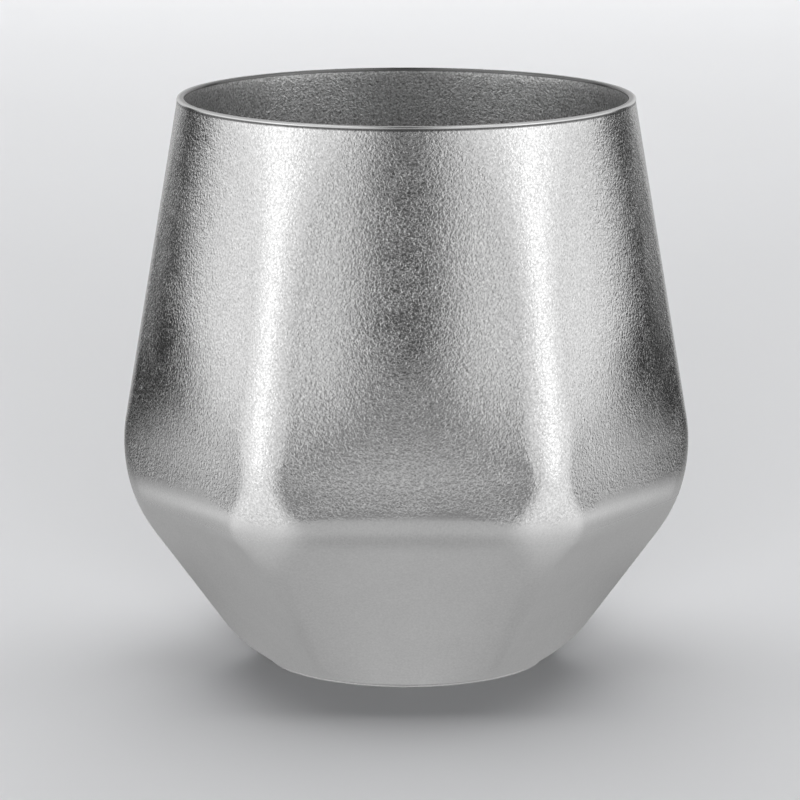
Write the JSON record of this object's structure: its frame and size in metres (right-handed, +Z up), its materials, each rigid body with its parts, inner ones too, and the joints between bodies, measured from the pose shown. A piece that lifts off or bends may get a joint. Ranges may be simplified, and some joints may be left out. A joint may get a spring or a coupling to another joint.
{
  "type": "double-walled tumbler",
  "caption": "Handle-less double-walled titanium mug with a round polished lip, a grained upper body, a rounded hexagonal shoulder and flat facets that taper to a small round foot.",
  "frame": {"origin": "centre of the round foot, on the table plane", "axes": "+Z up along the mug's axis; a flat facet faces -Y, towards the picture's camera; corners point along +X and -X"},
  "size_m": [0.0896, 0.081, 0.09],
  "materials": {
    "shell_titanium": "titanium, fine crystal grain above the shoulder, matte blasted facets below",
    "cup_titanium": "titanium, fine crystal grain",
    "lip_titanium": "titanium, polished",
    "base_titanium": "titanium, plain pressed sheet",
    "weld_titanium": "titanium, ground weld",
    "cover_titanium": "titanium, matte",
    "braze": "brazing filler",
    "bond": "cured adhesive",
    "getter": "pressed getter powder",
    "clip_steel": "thin spring strip",
    "copper_foil": "thin copper foil"
  },
  "bodies": {
    "root": {"outer_shell": "shell_titanium", "inner_cup": "cup_titanium", "rim_weld": "lip_titanium", "base_plate": "base_titanium", "base_weld": "weld_titanium", "seal_disc": "base_titanium", "seal_braze": "braze", "base_cover": "cover_titanium", "cover_bond": "bond", "getter_tablet": "getter", "getter_clip": "clip_steel", "foil_wrap": "copper_foil"}
  },
  "joints": []
}
